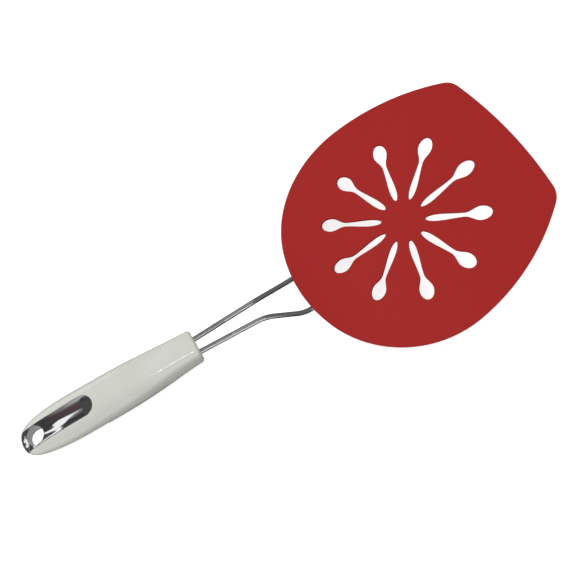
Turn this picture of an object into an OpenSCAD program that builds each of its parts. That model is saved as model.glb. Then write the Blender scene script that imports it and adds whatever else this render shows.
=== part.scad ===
// Slotted spatula: a dished nylon blade on a bent steel wire, with a moulded
// handle and a plated hanging insert. It lies on a table as it would be put
// down: the handle's belly and the wire sockets under the blade touch Z = 0.
// +X points from the handle to the blade's front edge, and the origin is the
// middle of the space that the whole spatula takes up, at table height.

/* [Blade] */
// Length of the blade, seen square on
blade_l = 155.4; // [130:0.1:180]
// Width of the blade, seen square on
blade_w = 155.3; // [130:0.1:180]
// Thickness of the blade
blade_t = 2.2; // [1.6:0.1:3]
// Radius of the blade's rise ahead of its middle
front_bend_r = 366; // [250:1:600]
// Radius of the blade's rise behind its middle
rear_bend_r = 197; // [150:1:400]
// Radius of the blade's dish from side to side
cross_bend_r = 602; // [400:1:900]
// Slope of the blade's middle above the table, in degrees
blade_slope = 29.3; // [24:0.1:34]

/* [Slots] */
// Number of spoon-shaped slots in the ring
slot_count = 10; // [6:1:12]
// Radius of the ring at the slots' inner ends
slot_inner_r = 13.8; // [12:0.1:18]
// Radius of the ring at the slots' outer ends
slot_outer_r = 53; // [48:0.1:58]
// Widest part of a slot's grip
slot_grip_w = 4.3; // [3:0.1:5]
// Narrowest part of a slot's neck
slot_neck_w = 2.7; // [2:0.1:3]
// Widest part of a slot's bowl
slot_bowl_w = 8.8; // [7:0.1:11]

/* [Wire] */
// Diameter of the wire
wire_d = 3.2; // [2.5:0.1:3.8]
// Radius of the wire's first bend, at its centre line
crank_r = 22; // [14:0.5:26]
// Radius of the wire's second bend, under the blade's rear edge
heel_r = 14; // [8:0.5:14]
// Height of the wire above the table where it leaves the handle
wire_h = 14; // [13:0.1:15]
// Length of wire from the handle to the first bend
wire_run = 43.9; // [38:0.1:50]
// Rise of that length of wire
wire_rise = 1.9; // [0:0.1:4]
// Half the gap between the two legs in the handle
leg_y = 4.4; // [3.6:0.1:5]
// The same at the first bend
crank_y = 6.2; // [5.4:0.1:7.5]
// The same under the blade
socket_y = 12.2; // [10:0.1:14]
// Length of wire that the handle grips, before the turn
wire_grip = 46; // [30:0.5:52]
// Play between the wire and the plastic round it
wire_play = 0.1; // [0.05:0.05:0.2]
// Distance of the second bend behind the blade's rear edge
heel_back = 5; // [3:0.1:7]

/* [Sockets] */
// Outside diameter of the sockets under the blade
socket_d = 5.6; // [5.2:0.1:6.4]
// Length of wire that lies under the blade
socket_l = 27; // [18:0.5:30]

/* [Handle] */
// Length of the handle
handle_l = 111; // [100:0.5:130]
// Width of the handle at its widest
handle_w = 26.4; // [24:0.1:30]
// Height of the handle's top above the table
handle_h = 23.8; // [23:0.1:27]
// Distance from the handle's front face to the blade's middle
handle_gap = 148.5; // [144:0.5:156]
// Rounding of the front face's edge
front_round = 1.8; // [1:0.1:2.4]
// How far the pad under the handle stands proud
pad_t = 0.9; // [0.5:0.1:1.2]
// Thickness of the shell over the core
shell_t = 2.6; // [2:0.1:3]

/* [Hanging insert] */
// Width of the insert's tongue
tongue_w = 12.6; // [12.6:0.1:13.5]
// Diameter of the hanging hole
hole_d = 10.2; // [8:0.1:10.2]
// Wall of the tube round the hanging hole
tube_wall = 1; // [0.8:0.1:1.1]
// Distance of the hole's centre from the tail end
hole_back = 9.6; // [9:0.1:11]
// Depth of the dish along the tongue, below the handle's top
dish_depth = 1.6; // [1:0.1:2]
// Radius of the dish from side to side
dish_r = 16.5; // [14:0.5:20]

/* [Hidden] */

// One overrun serves every cut
cut = 5;

// Blade outline as arcs, in shares of half its length and width
front_arc_share = 3.36;
corner_arc_share = 0.171;
side_arc_share = 1.66;
shoulder_arc_share = 0.915;
rear_arc_share = 1.187;
side_end_a = 85.1;
half_turn = 180;

function polar(r, a) = r * [cos(a), sin(a)];
function heading(v) = atan2(v.y, v.x);
function arc(c, r, a0, a1, n) = [for (i = [0:n]) c + polar(r, a0 + (a1 - a0) * i / n)];

// Upper crossing of two circles
function crossing(a, ra, b, rb) =
    let (d = norm(b - a), e = (b - a) / d)
    let (m = (ra * ra - rb * rb + d * d) / (2 * d), h = sqrt(ra * ra - m * m))
    let (p = a + e * m + h * [-e.y, e.x], q = a + e * m - h * [-e.y, e.x])
    p.y > q.y ? p : q;

rear_c = [rear_arc_share - 1, 0];
shoulder_up = 1 - shoulder_arc_share;
rear_end_a = half_turn - asin(shoulder_up / (rear_arc_share - shoulder_arc_share));
shoulder_c = rear_c + polar(rear_arc_share - shoulder_arc_share, rear_end_a);
side_c = shoulder_c + polar(shoulder_arc_share - side_arc_share, side_end_a);
front_c = [1 - front_arc_share, 0];
corner_c = crossing(side_c, side_arc_share - corner_arc_share,
    front_c, front_arc_share - corner_arc_share);
front_end_a = heading(corner_c - front_c);
side_start_a = heading(corner_c - side_c);

// Half of the outline, from the front to the rear
half_outline = concat(
    arc(front_c, front_arc_share, 0, front_end_a, 5),
    arc(corner_c, corner_arc_share, front_end_a, side_start_a, 8),
    arc(side_c, side_arc_share, side_start_a, side_end_a, 8),
    arc(shoulder_c, shoulder_arc_share, side_end_a, rear_end_a, 14),
    arc(rear_c, rear_arc_share, rear_end_a, half_turn, 5)
);

// Without the points that two arcs share
same_share = 0.0001;
function tidy(p) = [for (i = [0:len(p) - 1]) if (i == 0 || norm(p[i] - p[i - 1]) > same_share) p[i]];
half_points = tidy(half_outline);

module blade_plan() {
    there = [for (p = half_points) [p.x * blade_l / 2, p.y * blade_w / 2]];
    last = len(there) - 1;
    polygon(concat(there, [for (i = [last - 1:-1:1]) [there[i].x, -there[i].y]]));
}

// A spoon along +X: grip, neck and bowl, by their shares of its length
grip_share = 0.2;
neck_share = 0.6;
bowl_share = 0.84;
spoon_steps = 16;
function dome(t) = sqrt(max(0, 1 - t * t));
function ease(t) = (1 - cos(half_turn * t)) / 2;
function blend(a, b, t) = a + (b - a) * ease(t);
function spoon_half(u) =
    u < grip_share ? slot_grip_w / 2 * dome((grip_share - u) / grip_share)
    : u < neck_share ? blend(slot_grip_w, slot_neck_w, (u - grip_share) / (neck_share - grip_share)) / 2
    : u < bowl_share ? blend(slot_neck_w, slot_bowl_w, (u - neck_share) / (bowl_share - neck_share)) / 2
    : slot_bowl_w / 2 * dome((u - bowl_share) / (1 - bowl_share));

module spoon() {
    slot_l = slot_outer_r - slot_inner_r;
    // Closer together at the two round ends
    us = [for (i = [0:spoon_steps]) ease(i / spoon_steps)];
    upper = [for (u = us) [slot_inner_r + slot_l * u, spoon_half(u)]];
    polygon(concat(upper, [for (i = [spoon_steps - 1:-1:1]) [upper[i].x, -upper[i].y]]));
}

// Blade's own frame: its middle, its top face and its slope
function rise(x) = let (r = x < 0 ? rear_bend_r : front_bend_r) r - sqrt(r * r - x * x);
function dish(y) = cross_bend_r - sqrt(cross_bend_r * cross_bend_r - y * y);
function turn(p) = [p.x * cos(blade_slope) - p.z * sin(blade_slope), p.y,
    p.x * sin(blade_slope) + p.z * cos(blade_slope)];

// The wire's centre line under the blade, in the blade's frame
wire_depth = blade_t + wire_d / 2;
heel_x = -blade_l / 2 - heel_back;
wire_end_x = -blade_l / 2 + socket_l;
function under(x) = turn([x, socket_y, rise(x) + dish(socket_y) - wire_depth]);
heel_low = under(heel_x);
wire_end_low = under(wire_end_x);
socket_start_share = 0.205;
socket_low = heel_low + (wire_end_low - heel_low) * socket_start_share;
socket_slope = atan2(wire_end_low.z - heel_low.z, wire_end_low.x - heel_low.x);

// The sockets' lowest edge stands on the table
blade_lift = socket_d / 2 * cos(socket_slope) - socket_low.z;

// The origin is midway between the tail end and the blade's front edge
front_end_slope = asin(blade_l / 2 / front_bend_r);
front_base = rise(blade_l / 2) - blade_t / cos(front_end_slope);
front_reach = turn([blade_l / 2, 0, front_base]).x;
tail_reach = handle_gap + handle_l;
blade_x = (tail_reach - front_reach) / 2;
face_x = blade_x - handle_gap;
tail_x = face_x - handle_l;
blade_at = [blade_x, 0, blade_lift];

module on_blade() {
    translate(blade_at) rotate([0, -blade_slope, 0]) children();
}

// Half a sheet, ahead of the middle, that bends along the blade and dishes across it
sheet_facets = 360;
module half_sheet(bend_radius) {
    translate([0, 0, bend_radius])
        rotate([90, 0, 0])
            rotate([0, 0, -90])
                rotate_extrude(angle = asin((blade_l / 2 + cut) / bend_radius), $fn = sheet_facets)
                    intersection() {
                        translate([bend_radius - cross_bend_r, 0])
                            difference() {
                                circle(r = cross_bend_r + blade_t, $fn = sheet_facets);
                                circle(r = cross_bend_r, $fn = sheet_facets);
                            }
                        translate([bend_radius / 2, -blade_w / 2 - cut])
                            square([bend_radius, blade_w + 2 * cut]);
                    }
}

module blade_sheet() {
    half_sheet(front_bend_r);
    mirror([1, 0, 0]) half_sheet(rear_bend_r);
}

module blade() color("firebrick") {
    difference() {
        union() {
            on_blade()
                intersection() {
                    blade_sheet();
                    translate([0, 0, -blade_l / 4])
                        linear_extrude(blade_l / 2) blade_plan();
                }
            sockets();
        }
        on_blade()
            translate([0, 0, -blade_l / 4])
                linear_extrude(blade_l / 2)
                    for (i = [0:slot_count - 1]) rotate(2 * half_turn * i / slot_count) spoon();
        socket_bores();
    }
}

// Rings of equal points, joined and closed at both ends
module skin(rings) {
    n = len(rings[0]);
    last = len(rings) - 1;
    points = [for (r = rings) each r];
    sides = [for (k = [0:last - 1]) for (i = [0:n - 1])
        let (a = k * n + i, b = k * n + (i + 1) % n)
        each [[a, b, b + n], [a, b + n, a + n]]];
    start = [for (i = [n - 1:-1:0]) i];
    stop = [for (i = [0:n - 1]) last * n + i];
    polyhedron(points, concat([start], sides, [stop]), convexity = 4);
}

// Corners of the wire's right leg, from the handle to its end
grip_point = [face_x - wire_grip, leg_y, wire_h];
face_point = [face_x, leg_y, wire_h];
crank_point = [face_x + wire_run, crank_y, wire_h + wire_rise];
heel_point = blade_at + heel_low;
end_point = blade_at + wire_end_low;

// Points of a round bend of radius r at corner b, between its neighbours
bend_steps = 8;
function unit(v) = v / norm(v);
function bend(a, b, c, r) =
    let (
        before = unit(b - a),
        after = unit(c - b),
        angle = acos(before * after),
        inward = unit(after - before * (after * before)),
        start = b - before * r * tan(angle / 2)
    )
    [for (i = [0:bend_steps])
        let (t = angle * i / bend_steps) start + before * r * sin(t) + inward * r * (1 - cos(t))];

// The wire is one hairpin: its closed end turns inside the handle
turn_steps = 8;
half_turn_path = [for (i = [0:turn_steps - 1])
    grip_point - [leg_y * cos(90 * i / turn_steps), leg_y * (1 - sin(90 * i / turn_steps)), 0]];
half_path = concat(
    half_turn_path,
    [grip_point, face_point],
    bend(face_point, crank_point, heel_point, crank_r),
    bend(crank_point, heel_point, end_point, heel_r),
    [end_point]
);
half_last = len(half_path) - 1;
wire_path = concat(
    [for (i = [half_last:-1:1]) [half_path[i].x, -half_path[i].y, half_path[i].z]],
    half_path
);

// A ring of the wire at point i of its path, square to it
wire_sides = 20;
function wire_ring(path, i) =
    let (
        last = len(path) - 1,
        w = unit(path[min(i + 1, last)] - path[max(i - 1, 0)]),
        u = unit([0, 0, 1] - w * w.z),
        v = cross(w, u)
    )
    [for (k = [0:wire_sides - 1])
        let (a = 2 * half_turn * k / wire_sides) path[i] + wire_d / 2 * (cos(a) * u + sin(a) * v)];

module wire_frame() color("silver")
    skin([for (i = [0:len(wire_path) - 1]) wire_ring(wire_path, i)]);

// Square frame whose third axis runs along v
function frame_along(v) = let (w = unit(v), u = unit([0, 0, 1] - w * w.z)) [u, cross(w, u), w];
function placed(f, at) = [[f[0].x, f[1].x, f[2].x, at.x], [f[0].y, f[1].y, f[2].y, at.y],
    [f[0].z, f[1].z, f[2].z, at.z], [0, 0, 0, 1]];
module rod(from, to, d) {
    multmatrix(placed(frame_along(to - from), from))
        cylinder(d = d, h = norm(to - from), $fn = rod_facets);
}
rod_facets = 32;

// A socket hugs each leg of the wire under the blade and ends in a taper
socket_start = heel_point + (end_point - heel_point) * socket_start_share;
nose_l = socket_d / 2;
nose_d_share = 0.5;
module socket() {
    straight_l = norm(end_point - socket_start);
    multmatrix(placed(frame_along(end_point - socket_start), socket_start))
        rotate_extrude($fn = rod_facets)
            polygon([[0, 0], [socket_d / 2, 0], [socket_d / 2, straight_l],
                [socket_d / 2 * nose_d_share, straight_l + nose_l], [0, straight_l + nose_l]]);
}

module sockets() {
    socket();
    mirror([0, 1, 0]) socket();
}

module socket_bore() {
    rod(heel_point, end_point + unit(end_point - heel_point) * wire_play, wire_d + 2 * wire_play);
}

module socket_bores() {
    socket_bore();
    mirror([0, 1, 0]) socket_bore();
}

// Room for the wire: two holes in the front wall and one flat slot behind it
module wire_holes() {
    for (side = [-1, 1])
        translate([face_x - shell_t - cut, side * leg_y, wire_h])
            rotate([0, 90, 0])
                cylinder(d = wire_d + 2 * wire_play, h = shell_t + 2 * cut, $fn = rod_facets);
}

module wire_slot() {
    slot_w = 2 * leg_y + wire_d + 2 * wire_play;
    slot_h = wire_d + 2 * wire_play;
    translate([grip_point.x, 0, wire_h - slot_h / 2]) {
        cylinder(d = slot_w, h = slot_h, $fn = 2 * rod_facets);
        translate([0, -slot_w / 2, 0]) cube([wire_grip + cut, slot_w, slot_h]);
    }
}

// Handle sections, in shares: place along the handle, half width, and the
// heights of the top, the widest line and the underside
place_shares = [0, 0.1, 0.25, 0.4, 0.5, 0.58, 0.66, 0.74, 0.82, 0.89, 0.94, 0.975, 0.992, 1];
width_shares = [0.705, 0.75, 0.856, 0.947, 0.981, 0.992, 1, 0.996, 0.955, 0.867, 0.75, 0.568, 0.35, 0.12];
top_shares = [1, 0.993, 0.971, 0.943, 0.917, 0.891, 0.859, 0.825, 0.779, 0.719, 0.648, 0.577, 0.514, 0.458];
middle_shares = [0.598, 0.585, 0.56, 0.531, 0.509, 0.497, 0.488, 0.476, 0.463, 0.455, 0.446, 0.442, 0.438, 0.436];
base_shares = [0.201, 0.14, 0.074, 0.044, 0.038, 0.046, 0.067, 0.106, 0.161, 0.216, 0.266, 0.316, 0.366, 0.417];
square_shares = [4, 3.6, 3, 2.7, 2.5, 2.4, 2.35, 2.3, 2.25, 2.2, 2.2, 2.2, 2.2, 2.2];

// Smooth curve through a list of shares
function clip(i) = max(0, min(len(place_shares) - 1, i));
function gap_at(i) = place_shares[clip(i + 1)] - place_shares[clip(i)];
function tangent(s, i) = (s[clip(i + 1)] - s[clip(i - 1)]) / (place_shares[clip(i + 1)] - place_shares[clip(i - 1)]);
function span_of(u) = max([for (i = [0:len(place_shares) - 2]) u >= place_shares[i] ? i : 0]);
function smooth(s, u) =
    let (i = span_of(u), h = gap_at(i), t = (u - place_shares[i]) / h)
    (1 + 2 * t) * (1 - t) * (1 - t) * s[i] + t * (1 - t) * (1 - t) * h * tangent(s, i)
    + t * t * (3 - 2 * t) * s[i + 1] - t * t * (1 - t) * h * tangent(s, i + 1);

// The pad under the handle fades in behind the front face and stops in a step
pad_full_share = 0.35;
pad_stop_share = 0.585;
pad_step_share = 0.012;
pad_side_a = 22;
pad_fade_a = 16;
function pad(u) = u > pad_stop_share + pad_step_share / 2 ? 0 : pad_t * ease(min(1, u / pad_full_share));
function pad_cover(a) =
    let (below = a > half_turn ? min(a - half_turn, 2 * half_turn - a) : 0)
    ease(max(0, min(1, (below - pad_side_a) / pad_fade_a)));

ring_points = 36;
function signed_root(v, n) = sign(v) * pow(abs(v), 2 / n);
function handle_point(u, a, inset) =
    let (
        n = smooth(square_shares, u),
        middle = handle_h * smooth(middle_shares, u),
        up = handle_h * smooth(top_shares, u) - middle - inset,
        down = middle - handle_h * smooth(base_shares, u) - inset,
        half = handle_w / 2 * smooth(width_shares, u) - inset,
        y = half * signed_root(cos(a), n),
        z = (a < half_turn ? up : down) * signed_root(sin(a), n),
        reach = norm([y, z]),
        grow = inset > 0 ? 0 : pad(u) * pad_cover(a)
    )
    [y * (1 + grow / reach), middle + z * (1 + grow / reach)];
function handle_ring(u, x, inset) =
    [for (i = [0:ring_points - 1])
        let (p = handle_point(u, 2 * half_turn * i / ring_points, inset)) [x, p.x, p.y]];

front_steps = 3;
body_shares = [0.05, 0.1, 0.16, 0.22, 0.28, 0.35, 0.42, 0.5, 0.56, 0.585, 0.597, 0.64, 0.69, 0.74, 0.79,
    0.84, 0.88, 0.91, 0.935, 0.955, 0.97, 0.982, 0.991, 0.997, 1];

module handle_solid() {
    front = [for (k = [0:front_steps])
        let (a = 90 * k / front_steps, x = front_round * (1 - cos(a)))
        handle_ring(x / handle_l, face_x - x, front_round * (1 - sin(a)))];
    body = [for (u = body_shares) handle_ring(u, face_x - handle_l * u, 0)];
    skin(concat(front, body));
}

// The core fills the shell from behind its front wall to the pad's end
core_shares = [0.06, 0.12, 0.2, 0.28, 0.36, 0.44, 0.5, 0.56];
module core_solid() {
    first = shell_t / handle_l;
    skin([for (u = concat([first], core_shares)) handle_ring(u, face_x - handle_l * u, shell_t)]);
}

module handle_core() color("gainsboro") difference() {
    core_solid();
    wire_slot();
}

module handle_shell() color("ivory") difference() {
    handle_solid();
    core_solid();
    wire_holes();
    insert_room();
}

// The tongue lies on a sloping seat that runs down to the tail
seat_front_share = 0.75;
seat_tail_share = 0.34;
tongue_front_share = 0.589;
tongue_front_x = face_x - handle_l * tongue_front_share;
seat_front_h = handle_h * seat_front_share;
seat_tail_h = handle_h * seat_tail_share;
seat_slope = atan2(seat_front_h - seat_tail_h, tongue_front_x - tail_x);
hole_x = tail_x + hole_back;
tube_d = hole_d + 2 * tube_wall;

module above_seat() {
    translate([tail_x, 0, seat_tail_h])
        rotate([0, -seat_slope, 0])
            translate([-cut, -handle_w, 0])
                cube([handle_l, 2 * handle_w, handle_h]);
}

module tongue_prism() {
    linear_extrude(handle_h + cut) {
        translate([tongue_front_x - tongue_w / 2, 0]) circle(d = tongue_w, $fn = 64);
        translate([tail_x - cut, -tongue_w / 2])
            square([tongue_front_x - tongue_w / 2 - tail_x + cut, tongue_w]);
    }
}

module tube(d) {
    translate([hole_x, 0, -cut]) cylinder(d = d, h = handle_h + 2 * cut, $fn = 64);
}

module insert_room() {
    intersection() {
        tongue_prism();
        above_seat();
    }
    tube(tube_d);
}

// The dish is a shallow round groove that follows the handle's falling top
dish_tail_share = 0.94;
dish_bend_r = 1.75 * handle_l;
function top_point(u) = [face_x - handle_l * u, handle_h * smooth(top_shares, u)];
dish_from = top_point(tongue_front_share);
dish_to = top_point(dish_tail_share);
dish_chord = dish_from - dish_to;
dish_drop = sqrt(dish_bend_r * dish_bend_r - dish_chord * dish_chord / 4);
dish_c = (dish_from + dish_to) / 2 - unit([-dish_chord.y, dish_chord.x]) * dish_drop;

module dish_groove() {
    translate([dish_c.x, 0, dish_c.y])
        rotate([90, 0, 0])
            rotate([0, 0, 90 - dish_sweep])
                rotate_extrude(angle = 3 * dish_sweep, $fn = sheet_facets)
                    translate([dish_bend_r - dish_depth + dish_r, 0])
                        circle(r = dish_r, $fn = sheet_facets);
}
dish_sweep = 15;

module hang_insert() color("silver") difference() {
    intersection() {
        handle_solid();
        insert_room();
    }
    tube(hole_d);
    dish_groove();
}

blade();
wire_frame();
handle_core();
handle_shell();
hang_insert();
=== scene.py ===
# %% [markdown]
# # A slotted spatula
# The object is a kitchen turner of five pieces: a dished nylon blade, the hairpin of
# steel wire that carries it, a handle moulded in two shots, core and shell, and a
# chrome-plated insert that frames the hanging hole.
# The CAD model settles every size. This file loads it, then makes each visible piece
# again with the finer form that a camera sees: rounded edges, soft bends, a dished
# insert. Lengths are in millimetres, as on a drawing, and become metres when a mesh is
# made. The studio round the object is written in metres.

import bpy
import numpy as np
from mathutils import Matrix


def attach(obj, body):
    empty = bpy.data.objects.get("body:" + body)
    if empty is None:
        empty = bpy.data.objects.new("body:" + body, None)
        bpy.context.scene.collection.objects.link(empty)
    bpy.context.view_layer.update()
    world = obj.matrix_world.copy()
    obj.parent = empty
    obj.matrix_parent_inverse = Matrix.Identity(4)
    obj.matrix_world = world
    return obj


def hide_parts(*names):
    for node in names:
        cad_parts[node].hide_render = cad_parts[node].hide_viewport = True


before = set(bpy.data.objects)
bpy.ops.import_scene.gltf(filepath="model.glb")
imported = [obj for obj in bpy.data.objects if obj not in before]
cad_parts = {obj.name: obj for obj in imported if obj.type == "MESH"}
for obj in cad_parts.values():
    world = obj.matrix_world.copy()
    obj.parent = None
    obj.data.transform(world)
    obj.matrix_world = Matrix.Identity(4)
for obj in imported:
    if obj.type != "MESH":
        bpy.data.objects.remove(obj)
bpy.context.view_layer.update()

# %% [markdown]
# ## From arrays to meshes
# Every piece here is a surface worked out on a grid of two parameters. Neighbouring
# grids share their edge points, so one helper joins what lies in the same place.
# A four-cornered face whose corners meet in a pole is turned into a triangle.
# Blender's own primitives could be pushed into shape by hand instead, but a formula
# keeps every size readable and easy to change.

# %% Sheets from grids
MM = 0.001
# Points in one cell are joined; the shift keeps round numbers off its border.
CELL, CELL_SHIFT = 0.0005, 0.3717


def sheet_of(points, flip=False, wrap_rows=False, wrap_cols=False):
    """A grid's points and the faces between them, row by row, turned over if flip is set."""
    rows, cols = points.shape[:2]
    r = np.arange(rows if wrap_rows else rows - 1)[:, None]
    c = np.arange(cols if wrap_cols else cols - 1)[None, :]
    r1, c1 = (r + 1) % rows, (c + 1) % cols
    corners = [r * cols + c, r * cols + c1, r1 * cols + c1, r1 * cols + c]
    faces = np.stack(corners, axis=-1).reshape(-1, 4)
    return points.reshape(-1, 3), faces[:, ::-1] if flip else faces


def join_sheets(sheets):
    """All the sheets' points, with those in the same place made one, and all their faces."""
    points = np.concatenate([p for p, _ in sheets])
    starts = np.cumsum([0] + [len(p) for p, _ in sheets[:-1]])
    faces = np.concatenate([f + s for (_, f), s in zip(sheets, starts)])
    keys = np.floor(points / CELL + CELL_SHIFT).astype(np.int64)
    _, first, where = np.unique(keys, axis=0, return_index=True, return_inverse=True)
    return points[first], where.reshape(-1)[faces], first


# %% Mesh maker
def new_object(name, data):
    """An object of the scene that shows this data."""
    piece = bpy.data.objects.new(name, data)
    bpy.context.collection.objects.link(piece)
    return piece


def put_mesh(name, sheets, material, replaced, straight=None):
    """Makes the named piece from its sheets, gives it its material and ties it to the body.
    straight is each point's place before the piece was bent, if a pattern has to follow it."""
    points, faces, first = join_sheets(sheets)
    kept = faces != np.roll(faces, -1, axis=1)
    sides = kept.sum(axis=1)
    whole = sides >= 3
    corners, sides = faces[whole][kept[whole]], sides[whole]
    mesh = bpy.data.meshes.new(name)
    mesh.vertices.add(len(points))
    mesh.vertices.foreach_set("co", (points * MM).ravel())
    mesh.loops.add(len(corners))
    mesh.loops.foreach_set("vertex_index", corners)
    mesh.polygons.add(len(sides))
    mesh.polygons.foreach_set("loop_start", np.cumsum(sides) - sides)
    mesh.update(calc_edges=True)
    mesh.shade_smooth()
    if straight is not None:
        layer = mesh.attributes.new("straight", "FLOAT_VECTOR", "POINT")
        layer.data.foreach_set("vector", (straight.reshape(-1, 3)[first] * MM).ravel())
    mesh.materials.append(material)
    piece = new_object(name, mesh)
    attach(piece, "root")
    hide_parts(replaced)
    print(name, "has", len(points), "points and", len(sides), "faces")


# %% [markdown]
# ## Materials
# A Principled shader stands for each real finish. One function turns hex colours into
# the linear values that Cycles expects, and one adds a node with its settings and links.
# No real skin is quite even, so a third lets noises vary a finish at their real sizes.

# %% Colours, links and nodes
def from_hex(code):
    """Linear colour of an sRGB hex code."""
    srgb = np.array([int(code[i : i + 2], 16) for i in (1, 3, 5)]) / 255
    linear = np.where(srgb <= 0.04045, srgb / 12.92, ((srgb + 0.055) / 1.055) ** 2.4)
    return (*linear.tolist(), 1.0)


def link(source, output, target, socket):
    """Joins a node's output to another node's socket, each given by name or number."""
    target.id_data.links.new(source.outputs[output], target.inputs[socket])


def add_node(material, kind, settings=None, **links):
    """Adds a node of this kind; a link is given as socket=(node, output), the rest as values."""
    node = material.node_tree.nodes.new(kind)
    for key, value in (settings or {}).items():
        if hasattr(node, key):
            setattr(node, key, value)
        else:
            node.inputs[key].default_value = value
    for key, (source, output) in links.items():
        link(source, output, node, key.replace("_", " "))
    return node


# %% Materials that vary
def new_material(name, settings):
    """A material with one Principled shader that has these settings."""
    material = bpy.data.materials.new(name)
    material.use_nodes = True
    for key, value in settings.items():
        material.node_tree.nodes["Principled BSDF"].inputs[key].default_value = value
    return material


def vary(material, size, detail, colours=None, roughness=None, bump=None, place=None):
    """Lets a noise of this size drive the shader: its colour between two hex codes, its
    roughness between two values, its normals by a bump of a strength and a depth. place is
    the output that the noise reads, if not the piece's own space."""
    place = place or (add_node(material, "ShaderNodeTexCoord"), "Object")
    grain = {"Scale": 1 / size, "Detail": detail}
    value = (add_node(material, "ShaderNodeTexNoise", grain, Vector=place), "Fac")
    shader = material.node_tree.nodes["Principled BSDF"]
    if colours:
        ramp = add_node(material, "ShaderNodeValToRGB", Fac=value)
        for end, code in zip(ramp.color_ramp.elements, colours):
            end.color = from_hex(code)
        link(ramp, "Color", shader, "Base Color")
    if roughness:
        low_high = dict(zip(("To Min", "To Max"), roughness))
        spread = add_node(material, "ShaderNodeMapRange", low_high, Value=value)
        link(spread, "Result", shader, "Roughness")
    if bump:
        depth = dict(zip(("Strength", "Distance"), bump))
        relief = add_node(material, "ShaderNodeBump", depth, Height=value)
        link(relief, "Normal", shader, "Normal")
    print(material.name, "has", len(material.node_tree.nodes), "nodes")


# %% [markdown]
# ### Moulded nylon
# The blade is heat-proof nylon, dyed through and moulded in a finely sparked steel
# tool, so it is deep red with a satin skin. The tool's texture is about 0.25 mm across,
# which a bump from a fine noise gives. A second, wide noise lets the red and the sheen
# drift slightly, as resin flow does.

# %% Red nylon
FLOW_SIZE, SPARK_SIZE, SPARK_DEPTH = 45 * MM, 0.5 * MM, 0.02 * MM

nylon = new_material(
    "moulded_red_nylon",
    {"IOR": 1.53, "Specular IOR Level": 0.2, "Base Color": from_hex("#A11916"), "Roughness": 0.42},
)
vary(nylon, FLOW_SIZE, 3, ("#9F1916", "#A51B17"), (0.38, 0.46))
vary(nylon, SPARK_SIZE, 2, bump=(0.12, SPARK_DEPTH))

# %% [markdown]
# ### Drawn stainless wire
# The shank is 18/8 stainless wire, pulled through a die and tumbled. It mirrors its
# surroundings along its length in soft stripes, with faint draw lines. The lines follow
# every bend, so their pattern reads the place that each point had in the straight wire.

# %% Stainless wire
LINE_SIZE, LINE_DEPTH = 0.8 * MM, 0.002 * MM

steel = new_material(
    "drawn_stainless_wire", {"Metallic": 1.0, "Base Color": from_hex("#B3B2B0"), "Roughness": 0.14}
)
run = add_node(steel, "ShaderNodeAttribute", {"attribute_name": "straight"})
drawn = add_node(steel, "ShaderNodeMapping", {"Scale": (0.01, 1, 1)}, Vector=(run, "Vector"))
vary(steel, LINE_SIZE, 1, None, (0.1, 0.18), (0.1, LINE_DEPTH), place=(drawn, "Vector"))

# %% [markdown]
# ### Glossy handle plastic
# The handle's outer shot is ABS in a warm off-white, moulded in a polished tool. It is
# glossy but never flat: shrinkage leaves long, shallow ripples that bend a highlight.

# %% Ivory ABS
SHRINK_SIZE, SHRINK_DEPTH = 14 * MM, 0.2 * MM

ivory = new_material(
    "polished_ivory_abs", {"IOR": 1.54, "Base Color": from_hex("#D3D4CC"), "Roughness": 0.08}
)
vary(ivory, SHRINK_SIZE, 1, ("#D1D2C9", "#D5D6CF"), (0.07, 0.1), (0.05, SHRINK_DEPTH))

# %% [markdown]
# ### Chrome plate on plastic
# The insert is ABS plated with copper, nickel and a flash of chrome. The plate levels
# itself, so it is a clean mirror, a little uneven where the plastic below it sank.

# %% Chrome plate
SINK_SIZE, SINK_DEPTH = 6 * MM, 0.1 * MM

chrome = new_material(
    "chrome_plated_abs", {"Metallic": 1.0, "Base Color": from_hex("#C9CACC"), "Roughness": 0.05}
)
vary(chrome, SINK_SIZE, 1, roughness=(0.03, 0.08), bump=(0.12, SINK_DEPTH))

# %% [markdown]
# ### Handle core
# The first shot of the handle is natural polypropylene. Nobody sees it, but it is part
# of the model, so the CAD solid keeps its shape and gets the plastic's milky grey.

# %% Core plastic
CLOUD_SIZE = 9 * MM

core = new_material(
    "natural_polypropylene", {"IOR": 1.49, "Base Color": from_hex("#BDBDB8"), "Roughness": 0.5}
)
vary(core, CLOUD_SIZE, 2, ("#B6B6B1", "#C4C4BF"))
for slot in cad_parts["handle_core"].material_slots:
    slot.material = core

# %% [markdown]
# ## Where the blade lies
# The blade has its own frame: its origin is the middle of the slot ring on the top
# face, its X runs to the front edge and its Z is square to it. `on_table` carries points
# from there to the model's frame, where the blade slopes up by `BLADE_SLOPE`.

# %% Blade frame
BLADE_L, BLADE_W, BLADE_T = 155.4, 155.3, 2.2
FRONT_BEND_R, REAR_BEND_R, CROSS_BEND_R = 366.0, 197.0, 602.0
BLADE_SLOPE = np.radians(29.3)
BLADE_AT = np.array([97.3606, 0.0, 29.426])


def as_points(*coordinates):
    """Points from an array or a number for each of their coordinates."""
    return np.stack(np.broadcast_arrays(*coordinates), axis=-1)


def on_table(points):
    """Blade-frame points in the model's frame: turned nose up by the slope, then lifted."""
    x, y, z = np.moveaxis(np.asarray(points, dtype=float), -1, 0)
    c, s = np.cos(BLADE_SLOPE), np.sin(BLADE_SLOPE)
    return as_points(x * c - z * s, y, x * s + z * c) + BLADE_AT


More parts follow.
